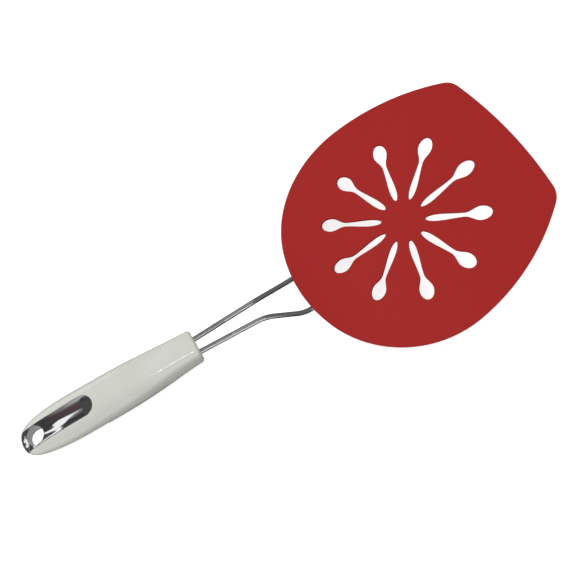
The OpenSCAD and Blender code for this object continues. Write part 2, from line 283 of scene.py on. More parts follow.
def blade_height(x, y, depth=0.0):
    """Height of the dished face: a circle across, itself swung round a long arc that has one
    radius ahead of the middle and a smaller one behind it. depth is how far below the top."""
    bend = np.where(x < 0, REAR_BEND_R, FRONT_BEND_R)
    swing = bend - CROSS_BEND_R + np.sqrt((CROSS_BEND_R + depth) ** 2 - y**2)
    return bend - np.sqrt(swing**2 - x**2)


front_edge = on_table([BLADE_L / 2, 0, blade_height(BLADE_L / 2, 0.0)])
print("front edge is", round(float(front_edge[2]), 1), "mm up")

# %% [markdown]
# ## The blade's outline
# Seen square on, the blade is a rounded shield: a nearly straight front edge, two small
# corners, and long arcs round the sides to the rear. It could be drawn with Bezier
# handles, but a die maker cuts tangent arcs, and they need only radii. Each radius is a
# share of half the blade's size, as in the CAD source.

# %% Arcs and directions
FRONT_ARC, CORNER_ARC, SIDE_ARC, SHOULDER_ARC, REAR_ARC = 3.36, 0.171, 1.66, 0.915, 1.187
SIDE_END = np.radians(85.1)
TINY = 1e-6


def chain(*parts):
    """Arrays one after the other."""
    return np.concatenate(parts)


def circle(a):
    """Points of the unit circle at these angles."""
    return as_points(np.cos(a), np.sin(a))


def arc_points(centre, radius, start, stop, count=400):
    """Points along a circle's arc."""
    return centre + radius * circle(np.linspace(start, stop, count))


def unit(vectors):
    """The vectors made one long."""
    return vectors / np.linalg.norm(vectors, axis=-1, keepdims=True)


def left_of(along):
    """Unit vectors that point to the left of these plan directions."""
    return unit(as_points(-along[..., 1], along[..., 0]))


def upper_crossing(a, ra, b, rb):
    """The upper of the two points where the circles about a and b cross."""
    d = np.linalg.norm(b - a)
    m = (ra**2 - rb**2 + d**2) / (2 * d)
    h = np.sqrt(ra**2 - m**2) * left_of(b - a)
    return a + unit(b - a) * m + (h if h[1] > 0 else -h)


# %% Outline from tangent arcs
def half_outline():
    """The left half of the outline, from the front point to the rear point."""
    rear = np.array([REAR_ARC - 1, 0.0])
    rear_end = np.pi - np.arcsin((1 - SHOULDER_ARC) / (REAR_ARC - SHOULDER_ARC))
    shoulder = rear + (REAR_ARC - SHOULDER_ARC) * circle(rear_end)
    side = shoulder + (SHOULDER_ARC - SIDE_ARC) * circle(SIDE_END)
    front = np.array([1 - FRONT_ARC, 0.0])
    corner = upper_crossing(side, SIDE_ARC - CORNER_ARC, front, FRONT_ARC - CORNER_ARC)
    front_end = np.arctan2(*(corner - front)[::-1])
    side_start = np.arctan2(*(corner - side)[::-1])
    arcs = chain(
        arc_points(front, FRONT_ARC, 0, front_end),
        arc_points(corner, CORNER_ARC, front_end, side_start),
        arc_points(side, SIDE_ARC, side_start, SIDE_END),
        arc_points(shoulder, SHOULDER_ARC, SIDE_END, rear_end),
        arc_points(rear, REAR_ARC, rear_end, np.pi),
    )
    return arcs * [BLADE_L / 2, BLADE_W / 2]


half = half_outline()
outline = chain(half, half[::-1][1:-1] * [1, -1])
outline = outline[np.linalg.norm(outline - np.roll(outline, 1, axis=0), axis=1) > TINY]
outline_turn = np.unwrap(np.arctan2(outline[:, 1], outline[:, 0]))
print("outline spans", np.ptp(outline, axis=0).round(1), "mm")


# %% Points and normals of the outline
def outline_at(turn, step=0.004):
    """Outline points in these directions from the blade's middle, and the inward normals
    there, from points a small step to either side."""
    full = 2 * np.pi
    around = chain(outline_turn - full, outline_turn, outline_turn + full)
    reach = np.tile(np.linalg.norm(outline, axis=1), 3)
    turn = (np.asarray(turn) + np.pi) % full - np.pi

    def spot(t):
        return np.interp(t, around, reach)[:, None] * circle(t)

    return spot(turn), left_of(spot(turn + step) - spot(turn - step))


# %% [markdown]
# ## A slot shaped like a spoon
# Ten slots form the ring: a rounded grip at the middle, a slim neck and a round bowl.
# The half width is written as a function of the place along the slot, with half a
# cosine wave between grip, neck and bowl, so the edge has no corner anywhere.

# %% Slot profile
SLOTS = 10
SLOT_IN, SLOT_OUT = 13.8, 53.0
GRIP_W, NECK_W, BOWL_W = 4.3, 2.7, 8.8
GRIP_AT, NECK_AT, BOWL_AT = 0.2, 0.6, 0.84


def ease(t):
    """Half a cosine wave from 0 to 1."""
    return (1 - np.cos(np.pi * np.clip(t, 0, 1))) / 2


def spoon_half(u):
    """Half width at share u of the slot: round end, cosine to neck and bowl, round end."""
    grip = GRIP_W / 2 * np.sqrt(np.clip(1 - ((GRIP_AT - u) / GRIP_AT) ** 2, 0, 1))
    to_neck = GRIP_W / 2 + (NECK_W - GRIP_W) / 2 * ease((u - GRIP_AT) / (NECK_AT - GRIP_AT))
    to_bowl = NECK_W / 2 + (BOWL_W - NECK_W) / 2 * ease((u - NECK_AT) / (BOWL_AT - NECK_AT))
    bowl = BOWL_W / 2 * np.sqrt(np.clip(1 - ((u - BOWL_AT) / (1 - BOWL_AT)) ** 2, 0, 1))
    return np.select([u < GRIP_AT, u < NECK_AT, u < BOWL_AT], [grip, to_neck, to_bowl], bowl)


# %% Points and normals of a slot's edge
def distances(line):
    """Distance along a line of points from its start to each point."""
    return chain([0], np.cumsum(np.linalg.norm(np.diff(line, axis=0), axis=1)))


def along_line(line, distance):
    """Plan points at these distances along a line of points."""
    run = distances(line)
    return as_points(*(np.interp(distance, run, line[:, i]) for i in (0, 1)))


dense = ease(np.linspace(0, 1, 4001))
spoon = as_points(SLOT_IN + (SLOT_OUT - SLOT_IN) * dense, spoon_half(dense))
spoon_l = distances(spoon)[-1]
print("a slot's edge is", round(2 * float(spoon_l), 1), "mm long")


def spoon_at(share, step=0.004):
    """Points of the slot's left edge at shares of its length, and normals into the plastic."""

    def spot(s):
        return along_line(spoon, np.clip(s, 0, 1) * spoon_l)

    along = spot(share + step) - spot(share - step)
    along[share <= 0] = [0, 1]
    along[share >= 1] = [0, -1]
    return spot(share), left_of(along)


# %% [markdown]
# ## The blade's skin
# The blade is cut like a pie into ten slices, one round each slot, and each slice into
# two halves. In a half slice, one parameter follows the slot's edge and, in step, the
# outer border: out along the cut between two slots, then along the outline. The other
# runs straight from the slot to that border. Real edges are slightly rounded where the
# tool closes, so the faces stop short of each edge and a narrow strip rolls over it.
# A boolean would cut the slots too, but it leaves ragged faces along a glossy edge.

# %% Rolled edges
CUT_POINTS, RIM_POINTS, ACROSS = 50, 26, 12
CUT_SHARE = 0.8
SLOT_EDGE_R, OUTER_EDGE_R, EDGE_GUARD = 0.35, 0.6, 0.3


def rounded_edge(radius, steps):
    """How far a rounded edge lies in from its side, r(1 - sin), and from its face, r(1 - cos)."""
    a = np.linspace(0, np.pi / 2, steps)
    return radius * (1 - np.sin(a)), radius * (1 - np.cos(a))


def edge_roll(edge_r):
    """Steps over an edge from top to bottom: distances in from it, and depths."""
    down = as_points(*rounded_edge(edge_r, 5))
    up = down[::-1] * [1, -1] + [0, BLADE_T]
    guard = edge_r + EDGE_GUARD
    return chain([[guard, 0]], down, up, [[guard, BLADE_T]])


def skin_points(plan, depth):
    """Plan points of the blade at a depth under its top face, in the model's frame."""
    x, y = plan[..., 0], plan[..., 1]
    top, low = blade_height(x, y), blade_height(x, y, BLADE_T)
    return on_table(as_points(x, y, top + (low - top) * depth / BLADE_T))


# %% Blade slices
def half_slice(turn, side):
    """Sheets of one half slice: top face, bottom face, rolled slot edge, rolled outer edge."""
    inner = np.linspace(0, CUT_SHARE, CUT_POINTS)
    share = chain(inner, np.linspace(CUT_SHARE, 1, RIM_POINTS)[1:])
    c, s = np.cos(turn), np.sin(turn)
    spin = np.array([[c, s], [-s, c]])
    slot, slot_n = ((v * [1, side]) @ spin for v in spoon_at(share))

    rim, rim_n = outline_at(turn + side * np.pi / SLOTS * np.linspace(1, 0, RIM_POINTS))
    rim_in = rim + rim_n * (OUTER_EDGE_R + EDGE_GUARD)
    cut = np.linspace(0, 1, CUT_POINTS)[:, None] * rim_in[0]
    border = chain(cut, rim_in[1:])

    near = slot + slot_n * (SLOT_EDGE_R + EDGE_GUARD)
    t = np.linspace(0, 1, ACROSS + 1)[:, None, None]
    face = near * (1 - t) + border * t
    sheets = [
        sheet_of(skin_points(face, 0.0), flip=side < 0),
        sheet_of(skin_points(face, BLADE_T), flip=side > 0),
    ]
    for edge, normal, roll, turned in (
        (slot, slot_n, edge_roll(SLOT_EDGE_R), side > 0),
        (rim, rim_n, edge_roll(OUTER_EDGE_R), side < 0),
    ):
        plan = edge + normal * roll[:, 0][:, None, None]
        sheets.append(sheet_of(skin_points(plan, roll[:, 1][:, None]), flip=turned))
    return sheets


blade_sheets = []
for i in range(SLOTS):
    for side in (1, -1):
        blade_sheets += half_slice(2 * np.pi * i / SLOTS, side)
print("the blade's skin has", len(blade_sheets), "sheets")

# %% [markdown]
# ## The wire's path
# Each leg leaves the handle level, cranks down towards the table, and turns up again
# under the blade's rear edge. The path is a handful of corners, each replaced by an
# arc. The same path serves the wire and the sockets that hold its ends.

# %% Measures of the wire
WIRE_D, SOCKET_D = 3.2, 5.6
WIRE_H, WIRE_RUN, WIRE_RISE = 14.0, 43.9, 1.9
LEG_Y, CRANK_Y, SOCKET_Y = 4.4, 6.2, 12.2
HANDLE_GAP, HANDLE_L, WIRE_GRIP = 148.5, 111.0, 46.0
HEEL_BACK, SOCKET_L = 5.0, 27.0
NECK_R, CRANK_R, HEEL_R = 60.0, 21.0, 16.0
FACE_X = BLADE_AT[0] - HANDLE_GAP
TAIL_X = FACE_X - HANDLE_L


def under_blade(x):
    """Where the wire's centre line lies under the blade at blade-frame x."""
    low = float(blade_height(np.array(x), np.array(SOCKET_Y))) - BLADE_T
    return on_table([x, SOCKET_Y, low - WIRE_D / 2])


def round_corner(before, corner, after, radius, step=0.7):
    """Arc of the given radius that replaces a corner, with a point every step millimetres."""
    a, b = unit(corner - before), unit(after - corner)
    angle = np.arccos(a @ b)
    inward = unit(b - a * (a @ b))
    t = np.linspace(0, angle, max(4, int(angle * radius / step)))[:, None]
    start = corner - a * radius * np.tan(angle / 2)
    return start + a * radius * np.sin(t) + inward * radius * (1 - np.cos(t))


# %% Path of one leg
turn_at = np.array([FACE_X - WIRE_GRIP, LEG_Y, WIRE_H])
leaves = np.array([FACE_X, LEG_Y, WIRE_H])
crank = np.array([FACE_X + WIRE_RUN, CRANK_Y, WIRE_H + WIRE_RISE])
heel = under_blade(-BLADE_L / 2 - HEEL_BACK)
wire_end = under_blade(-BLADE_L / 2 + SOCKET_L)
bend = np.linspace(0, np.pi / 2, 12)[:-1]
hairpin = turn_at - LEG_Y * as_points(np.cos(bend), 1 - np.sin(bend), 0)
leg = chain(
    hairpin,
    turn_at[None],
    round_corner(turn_at, leaves, crank, NECK_R),
    round_corner(leaves, crank, heel, CRANK_R),
    round_corner(crank, heel, wire_end, HEEL_R),
    wire_end[None],
)
wire_path = chain(leg[::-1][:-1] * [1, -1, 1], leg)
print("wire is", round(float(distances(wire_path)[-1])), "mm long")

# %% [markdown]
# ## The wire
# A ring of points is set square to the path at each place, and the rings are joined.
# Blender's curve bevel does the same, but here each point also keeps its place in the
# straight wire, so the draw lines follow every bend. The cut ends are tumbled round.

# %% Wire mesh
TURNS, TUMBLED_R = 32, 0.4


def tube_with_round_ends(path, radius, edge):
    """Rings square to a path, first point on top, with rounded end edges that close in a pole,
    and each point's place if the rod were straight along X."""
    along = unit(np.gradient(path, axis=0))
    side_in, end_in = rounded_edge(edge, 4)
    into = chain([0], end_in)
    end_r = chain([0], radius - side_in)
    first = path[0] + along[0] * into[:, None]
    last = path[-1] - along[-1] * into[::-1, None]
    middle = chain(first, path[1:-1], last)
    ends = [np.tile(along[i], (len(into), 1)) for i in (0, -1)]
    heading = chain(ends[0], along[1:-1], ends[1])
    radii = chain(end_r, np.full(len(path) - 2, radius), end_r[::-1])[:, None]

    up = unit(np.array([0, 0, 1.0]) - heading * heading[:, 2:3])
    left = np.cross(heading, up)
    a = np.linspace(0, 2 * np.pi, TURNS, endpoint=False)
    rise, aside = radii * np.cos(a), radii * np.sin(a)
    rings = middle[:, None] + rise[..., None] * up[:, None] + aside[..., None] * left[:, None]
    return rings, as_points(distances(middle)[:, None], rise, aside)


wire_rings, wire_straight = tube_with_round_ends(wire_path, WIRE_D / 2, TUMBLED_R)
wire_sheet = sheet_of(wire_rings, wrap_cols=True)
put_mesh("wire_hairpin", [wire_sheet], steel, "wire_frame", wire_straight)

# %% [markdown]
# ## Sockets under the blade
# Two ribs of nylon are moulded on the blade's underside, and the ends of the wire are
# pressed into them. A rib's section is a half round with soft shoulders where it
# meets the blade, and the rib runs out in a rounded nose.

# %% Socket ribs
SOCKET_START, NOSE_L, SHOULDER_R, SUNK, RIB_EDGE_R = 0.205, 4.6, 0.9, 0.5, 0.35
RIB_STEPS = 24


def socket_rib(side):
    """Sections along the wire's end: a half round below, then shoulders that flare into the
    blade. Past the wire's end they shrink towards the blade as a quarter ellipse."""
    wall, under = SOCKET_D / 2, WIRE_D / 2
    half_round = wall * circle(np.linspace(-np.pi / 2, 0, 13))
    short, out = rounded_edge(SHOULDER_R, 6)
    flare = as_points(wall + out, under - short)
    right = chain(half_round, flare, [[wall + SHOULDER_R, under + SUNK]])
    left = right[:0:-1] * [-1, 1]
    section = chain(right, [[0, under + SUNK]], left)

    start = heel + (wire_end - heel) * SOCKET_START
    length = np.linalg.norm(wire_end - start)
    a = np.linspace(0, np.pi / 2, 12)
    side_in, end_in = rounded_edge(RIB_EDGE_R, 4)
    body = np.linspace(1, length - 0.5, RIB_STEPS)
    run = chain([0], end_in, body, length + NOSE_L * np.sin(a))
    size = chain([0], 1 - side_in / wall, np.ones(RIB_STEPS), np.cos(a))
    hub = np.zeros((len(run), 1, 2))
    hub[1 + len(end_in) :] = [0, under + SUNK]
    flat = hub + (section - hub) * size[:, None, None]
    ahead = unit(wire_end - start)
    up = unit(np.array([0, 0, 1]) - ahead * ahead[2])
    aside = np.cross(ahead, up)
    points = start + run[:, None, None] * ahead + flat[..., :1] * aside + flat[..., 1:] * up
    return points * [1, side, 1]


for side in (1, -1):
    blade_sheets.append(sheet_of(socket_rib(side), flip=side < 0, wrap_cols=True))
put_mesh("blade_moulding", blade_sheets, nylon, "blade")

# %% [markdown]
# ## The handle's form
# Along the handle, five smooth curves give the half width, the heights of the top, the
# widest line and the underside, and how square the section is. Each section is a
# superellipse, so it can go from a soft square at the front to an oval at the tail.
# The tail closes as a round nose. A curve in plain distance can't turn that sharply, so
# the curves are written in the square root of the distance that is left to the tail.

# %% Stations along the handle
HANDLE_W, HANDLE_H, FRONT_ROUND = 26.4, 23.8, 1.8
PLACES = [0, 0.1, 0.25, 0.4, 0.5, 0.58, 0.66, 0.74, 0.82, 0.89, 0.94, 0.975, 0.992, 1]
HALF_WIDTHS = [0.705, 0.75, 0.856, 0.947, 0.981, 0.992, 1]
HALF_WIDTHS += [0.996, 0.955, 0.867, 0.75, 0.568, 0.35, 0]
TOPS = [1, 0.993, 0.971, 0.943, 0.917, 0.891, 0.859]
TOPS += [0.825, 0.779, 0.719, 0.648, 0.577, 0.514, 0.436]
MIDDLES = [0.598, 0.585, 0.56, 0.531, 0.509, 0.497, 0.488]
MIDDLES += [0.476, 0.463, 0.455, 0.446, 0.442, 0.438, 0.436]
BASES = [0.201, 0.14, 0.074, 0.044, 0.038, 0.046, 0.067]
BASES += [0.106, 0.161, 0.216, 0.266, 0.316, 0.366, 0.436]
SQUARE = [4, 3.6, 3, 2.7, 2.5, 2.4, 2.35, 2.3, 2.25, 2.2, 2.2, 2.2, 2.2, 2.2]


# %% Handle curves
def spline_through(knots, values):
    """Natural cubic spline: the curve of least bending through all values."""
    knots, values = np.asarray(knots, float), np.asarray(values, float)
    h, n = np.diff(knots), len(knots)
    i = np.arange(1, n - 1)
    grid = np.eye(n)
    grid[i, i - 1], grid[i, i], grid[i, i + 1] = h[:-1], 2 * (h[:-1] + h[1:]), h[1:]
    slope = np.diff(values) / h
    bends = np.linalg.solve(grid, chain([0], 6 * np.diff(slope), [0]))

    def at(t):
        k = np.clip(np.searchsorted(knots, t) - 1, 0, n - 2)
        a = (knots[k + 1] - t) / h[k]
        c = 1 - a
        cubic = ((a**3 - a) * bends[k] + (c**3 - c) * bends[k + 1]) * h[k] ** 2 / 6
        return a * values[k] + c * values[k + 1] + cubic

    return at


to_tail = np.sqrt(1 - np.array(PLACES))[::-1]
half_curve, top_curve, middle_curve, base_curve, square_curve = (
    spline_through(to_tail, v[::-1]) for v in (HALF_WIDTHS, TOPS, MIDDLES, BASES, SQUARE)
)


def handle_curves(u):
    """Half width, rise above and fall below the widest line, its height, and the exponent."""
    t = np.sqrt(np.clip(1 - u, 0, 1))
    middle = HANDLE_H * middle_curve(t)
    up = HANDLE_H * top_curve(t) - middle
    down = middle - HANDLE_H * base_curve(t)
    return HANDLE_W / 2 * half_curve(t), up, down, middle, square_curve(t)


widest = PLACES[HALF_WIDTHS.index(1)]
print("widest place", round(2 * float(handle_curves(np.array(widest))[0]), 1), "mm")

# %% [markdown]
# ## The pad
# A thin pad stands proud under the front of the handle. It fades in behind the front
# face, ends towards the tail in a small step, and its sides melt into the handle.

# %% Section with the pad
PAD_T, PAD_FULL, PAD_STOP, PAD_STEP = 0.9, 0.35, 0.585, 0.012
PAD_SIDE, PAD_FADE = np.radians(22), np.radians(16)
# The shell ends this much inside the insert where the two meet, so the plate covers it.
TUCKED = 0.1
SHELL_L = HANDLE_L - TUCKED
AROUND, BODY_START, SPLIT_AT, STEP_MARGIN = 144, 0.03, 0.8, 0.004


def section_points(u, a, inset=0.0):
    """Handle points: y and z are the cosine and sine of a to the power 2 over the section's
    exponent; the pad pushes points out from the section's middle."""
    half, up, down, middle, n = handle_curves(u)
    c, s = np.cos(a), np.sin(a)
    y = (half - inset) * np.sign(c) * np.abs(c) ** (2 / n)
    z = (np.where(s > 0, up, down) - inset) * np.sign(s) * np.abs(s) ** (2 / n)
    below = np.where(a > np.pi, np.minimum(a - np.pi, 2 * np.pi - a), 0)
    pad = PAD_T * ease(u / PAD_FULL) * (1 - ease((u - PAD_STOP) / PAD_STEP))
    pad = pad * ease((below - PAD_SIDE) / PAD_FADE)
    grow = 1 + pad * (inset == 0) / np.maximum(np.hypot(y, z), TINY)
    return y * grow, middle + z * grow


# %% Front of the shell
def shell_front():
    """Front face, rounded edge and body, as sections from the face's middle to SPLIT_AT, closer
    together where the pad ends."""
    a = np.linspace(0, 2 * np.pi, AROUND + 1)[None, :-1]
    plain = np.linspace(BODY_START, SPLIT_AT, 120)
    fine = np.linspace(PAD_STOP - STEP_MARGIN, PAD_STOP + PAD_STEP + STEP_MARGIN, 12)
    body = np.unique(chain(plain, fine))
    side_in, face_in = rounded_edge(FRONT_ROUND, 7)
    inset = chain(side_in, 0 * body)[:, None]
    u = chain(face_in / SHELL_L, body)[:, None]
    y, z = section_points(u, a, inset)
    rings = as_points(FACE_X - SHELL_L * u, y, z)
    heart = rings[0].mean(axis=0)
    face = heart + (rings[0] - heart) * np.linspace(0, 1, 6)[:-1, None, None]
    return chain(face, rings)


print("the pad ends", round(HANDLE_L * PAD_STOP), "mm behind the front face")

# %% [markdown]
# ## The tail and its hole
# From here back the hanging hole goes through the handle. The upper and the lower skin
# are grids of their own: one parameter goes round the hole, the other runs out from it
# to the handle's widest line, in shorter steps where the skin turns down steeply. A
# boolean could cut the hole, but would ripple the gloss. The plated insert needs room,
# so the shell is sunk under it.

# %% Skins, seat and sink
HOLE_D, HOLE_BACK, TUBE_WALL = 10.2, 9.6, 1.0
TONGUE_W, TONGUE_FRONT = 12.6, 0.589
SEAT_FRONT, SEAT_TAIL = 0.75 * HANDLE_H, 0.34 * HANDLE_H
# Under the insert the shell sinks and draws in, from a margin at the seat's edge on.
SINK_DEEP, SINK_IN, SINK_EDGE = 2.2, 0.9, 0.3
SIDE_FADE, RISE_FADE, FULL_FADE = 0.6, 0.8, 3.0
HOLE_AT = np.array([TAIL_X + HOLE_BACK, 0.0])
TONGUE_X = FACE_X - HANDLE_L * TONGUE_FRONT
SHELL_HOLE_R = HOLE_D / 2 + TUBE_WALL - TUCKED


def lift(plan, z):
    """Plan points with their heights."""
    return as_points(plan[..., 0], plan[..., 1], z)


def handle_skin(plan, upper=True):
    """Height of the handle's upper or lower skin over plan points."""
    half, up, down, middle, n = handle_curves((FACE_X - plan[..., 0]) / SHELL_L)
    share = np.abs(plan[..., 1] / np.maximum(half, TINY))
    rest = np.clip(1 - share**n, 0, 1) ** (1 / n)
    return middle + up * rest if upper else middle - down * rest


def seat_height(x):
    """Height of the sloping seat that the insert lies on."""
    return SEAT_TAIL + (SEAT_FRONT - SEAT_TAIL) * (x - TAIL_X) / (TONGUE_X - TAIL_X)


def inside_tongue(plan):
    """Distance inwards from the insert's straight sides and round front."""
    r = TONGUE_W / 2
    ahead = np.maximum(plan[..., 0] - (TONGUE_X - r), 0)
    return r - np.hypot(ahead, plan[..., 1])


def sink(points):
    """Shell points under the insert go down, and at the tail also in towards the hole."""
    plan, x, z = points[..., :2], points[..., 0], points[..., 2]
    above = z - seat_height(x) - SINK_EDGE
    w = ease((inside_tongue(plan) - SINK_EDGE) / SIDE_FADE) * ease(above / RISE_FADE)
    out = plan - HOLE_AT
    reach = np.linalg.norm(out, axis=-1)
    behind = ease((HOLE_AT[0] - x) / FULL_FADE + 0.5)
    pull = 1 - SINK_IN * w * behind * np.clip((reach - SHELL_HOLE_R) / 2, 0, 1) / reach
    lower = SINK_DEEP * w * np.clip(above / FULL_FADE, 0, 1)
    return lift(HOLE_AT + out * pull[..., None], z - lower)


# %% Handle tail
def tail_outline():
    """Plan points from the left across the body's last section and back round the tail."""
    y, _ = section_points(np.array(SPLIT_AT), np.linspace(0, np.pi, AROUND // 2 + 1))
    across = as_points(FACE_X - SHELL_L * SPLIT_AT, y)
    t = np.linspace(np.sqrt(1 - SPLIT_AT), 0, 60)[1:]
    left = as_points(FACE_X - SHELL_L * (1 - t**2), handle_curves(1 - t**2)[0])
    return chain(across, left * [1, -1], left[-2::-1])


def tail_skin(upper, steps=26):
    """One skin of the tail between the hole and the outline."""
    edge = tail_outline()
    out = edge - HOLE_AT
    reach = np.linalg.norm(out, axis=1)
    s = np.sin(np.linspace(0, np.pi / 2, steps))[:, None]
    r = SHELL_HOLE_R + (reach - SHELL_HOLE_R) * s
    plan = HOLE_AT + unit(out) * r[..., None]
    plan[-1] = edge
    return lift(plan, handle_skin(plan, upper))


upper_tail, lower_tail = sink(tail_skin(True)), sink(tail_skin(False))
bore = np.stack([upper_tail[0] * (1 - t) + lower_tail[0] * t for t in np.linspace(0, 1, 5)])
shell_sheets = [
    sheet_of(sink(shell_front()), wrap_cols=True, flip=True),
    sheet_of(upper_tail, wrap_cols=True),
    sheet_of(lower_tail, wrap_cols=True, flip=True),
    sheet_of(bore, wrap_cols=True, flip=True),
]
put_mesh("handle_moulding", shell_sheets, ivory, "handle_shell")

# %% [markdown]
# ## The plated insert
# The insert is a tongue let into the top of the handle. From above it has straight
# sides and a round front, and round the tail it keeps to the handle's own edge. It could
# be cut from a copy of the handle, but a mirror shows every uneven step along its rim.

# %% Insert outline
INSERT_AROUND = 288


def insert_outline():
    """Plan outline, evenly spaced: a round front, straight sides, and the handle's tail."""
    r = TONGUE_W / 2
    t = np.linspace(0.3, 0, 4000)
    half = handle_curves(1 - t**2)[0] + TUCKED
    tail = as_points(FACE_X - SHELL_L * (1 - t**2), np.minimum(half, r))[half <= r + TUCKED]
    nose = arc_points([TONGUE_X - r, 0], r, 0, np.pi / 2)
    side = chain(nose, tail, [[TAIL_X, 0.0]])
    both = chain(side, side[::-1][1:] * [1, -1])
    return along_line(both, np.linspace(0, distances(both)[-1], INSERT_AROUND + 1)[:-1])


insert_edge = insert_outline()
print("insert outline spans", np.ptp(insert_edge, axis=0).round(1), "mm")

# %% [markdown]
# ### The insert's surface
# It follows the handle's top at its rim, dips in a shallow dish inside the rim, and
# turns down into the hanging hole. The surface is one closed band of loops, like a
# tyre: out from the hole's lip over the dish to the rim, down a skirt, back under the
# tongue, down the tube's outside and up its bore.

# %% Dished top of the insert
PROUD, RIM_W, DISH_DEPTH, LIP_R, EDGE_R = 0.12, 0.4, 1.5, 0.3, 0.25
SKIRT, SKIRT_TUCK = 1.6, 0.9
DISH_LOOPS, CROWDED = 44, 1.6
RIM_LOOPS = np.array([0.5, 0.38, 0.27, 0.18, 0.1, 0.045, 0.012, 0.0])


def from_edge(plan):
    """Distance of plan points from the insert's outline."""
    tail = HOLE_BACK - np.linalg.norm(plan - HOLE_AT, axis=-1)
    inside = inside_tongue(plan)
    return np.where(plan[..., 0] < HOLE_AT[0], np.minimum(inside, tail), inside)


def insert_top(plan):
    """The handle's top, a touch higher, less a dish that is a parabola in from the rim."""
    inwards = np.clip((from_edge(plan) - RIM_W) / (TONGUE_W / 2 - RIM_W), 0, 1)
    return handle_skin(plan) + PROUD - DISH_DEPTH * (1 - (1 - inwards) ** 2)


# %% Insert surface
def insert_surface():
    """All loops of the insert, from the hole's lip outwards and back to it."""
    aim = unit(insert_edge - HOLE_AT)
    half, _, _, middle, _ = handle_curves((FACE_X - insert_edge[:, 0]) / SHELL_L)
    at_tail = half < TONGUE_W / 2 + 0.05
    normal = left_of(np.roll(insert_edge, -1, axis=0) - np.roll(insert_edge, 1, axis=0))

    near_edge = insert_edge + normal * RIM_LOOPS[:, None, None]
    s = 1 - (1 - np.linspace(0, 1, DISH_LOOPS)[:-1, None, None]) ** CROWDED
    lip = HOLE_AT + aim * (HOLE_D / 2 + LIP_R)
    dish = lip * (1 - s) + near_edge[0] * s
    drop = EDGE_R - np.sqrt(EDGE_R**2 - np.maximum(EDGE_R - RIM_LOOPS, 0) ** 2)
    rim_z = insert_top(near_edge) - np.where(at_tail, 0, drop[:, None])
    rim_z[-1] = np.where(at_tail, middle, rim_z[-1])

    low_z = np.where(at_tail, seat_height(insert_edge[:, 0]), rim_z[-1] - SKIRT)
    k = np.linspace(0, 1, 7)[1:, None]
    tuck = np.where(at_tail, SKIRT_TUCK, 0.0) * k**2
    skirt = lift(insert_edge - aim * tuck[..., None], rim_z[-1] * (1 - k) + low_z * k)

    bore_r, tube_r = HOLE_D / 2, HOLE_D / 2 + TUBE_WALL
    foot = HOLE_AT + aim * tube_r
    base = handle_skin(foot, upper=False) - PROUD
    lip_z = insert_top(lip)
    wall = lip_z - LIP_R - base - EDGE_R
    ends = list(zip(*rounded_edge(EDGE_R, 4)))
    loops = [(tube_r, handle_skin(foot) - 2 * DISH_DEPTH)]
    loops += [(tube_r - b, base + a) for a, b in ends]
    loops += [(bore_r + a, base + b) for a, b in ends]
    loops += [(bore_r, base + EDGE_R + wall * share) for share in np.linspace(0.12, 1, 10)]
    loops += [(bore_r + b, lip_z - a) for a, b in list(zip(*rounded_edge(LIP_R, 5)))[1:-1]]
    tube = np.stack([lift(HOLE_AT + aim * r, z) for r, z in loops])
    return chain(lift(dish, insert_top(dish)), lift(near_edge, rim_z), skirt, tube)


insert_sheet = sheet_of(insert_surface(), flip=True, wrap_rows=True, wrap_cols=True)
put_mesh("hanging_insert", [insert_sheet], chrome, "hang_insert")

# %% [markdown]
# ## Table
# The spatula lies on a plain white table. A camera sees white paper as pure white only
# if it is lit brighter than the object, so the table adds some light of its own for the
# camera and for reflections, and keeps the object's shadow.

# %% Studio sheets
WHITE = "#FFFFFF"
TABLE_HALF, TABLE_GLOW = 3.0, 0.78


def seen_directly(owner):
    """An output that is 1 for rays from the camera, from a mirror or through glass, else 0."""
    ray = add_node(owner, "ShaderNodeLightPath")
    seen = (ray, "Is Camera Ray")
    for kind in ("Is Glossy Ray", "Is Transmission Ray"):
        either = add_node(owner, "ShaderNodeMath", {"operation": "MAXIMUM"})
        link(*seen, either, 0)
        link(ray, kind, either, 1)
        seen = (either, "Value")
    return seen


def bare_material(name):
    """A material that has no shader yet, and its output node."""
    material = new_material(name, {})
    nodes = material.node_tree.nodes
    nodes.remove(nodes["Principled BSDF"])
    return material, nodes["Material Output"]


def level_sheet(plan, z):
    """Corners of a level sheet with these plan corners at height z."""
    return [(x, y, z) for x, y in plan]


def oblong(x0, x1, y0, y1):
    """Plan corners of an oblong."""
    return [(x0, y0), (x1, y0), (x1, y1), (x0, y1)]


def stage_sheet(name, corners, material):
    """A flat sheet of the studio, through these corners."""
    mesh = bpy.data.meshes.new(name)
    mesh.from_pydata(corners, [], [tuple(range(len(corners)))])
    mesh.materials.append(material)
    sheet = new_object(name, mesh)
    return sheet


# %% Table
paper, surface = bare_material("white_paper")
level = add_node(paper, "ShaderNodeMath", {"operation": "MULTIPLY"})
link(*seen_directly(paper), level, 0)
level.inputs[1].default_value = TABLE_GLOW
matt = add_node(paper, "ShaderNodeBsdfDiffuse", {"Color": from_hex("#C4C4C4")})
glow = add_node(paper, "ShaderNodeEmission", {"Color": from_hex(WHITE)}, Strength=(level, "Value"))
both = add_node(paper, "ShaderNodeAddShader")
link(matt, "BSDF", both, 0)
link(glow, "Emission", both, 1)
link(both, "Shader", surface, "Surface")
table_plan = oblong(-TABLE_HALF, TABLE_HALF, -TABLE_HALF, TABLE_HALF)
stage_sheet("table", level_sheet(table_plan, 0), paper)
print("table is", 2 * TABLE_HALF, "m wide")

# %% [markdown]
# ## Light
# The world is a white tent that gives most of the light. It lights the object evenly, and
# the camera and mirrors see it as plain white. One large soft lamp high behind the tail
# gives the shapes a light and a shaded side, and a weak one low in front keeps the shaded
# side from going grey. Mirrors see neither lamp.

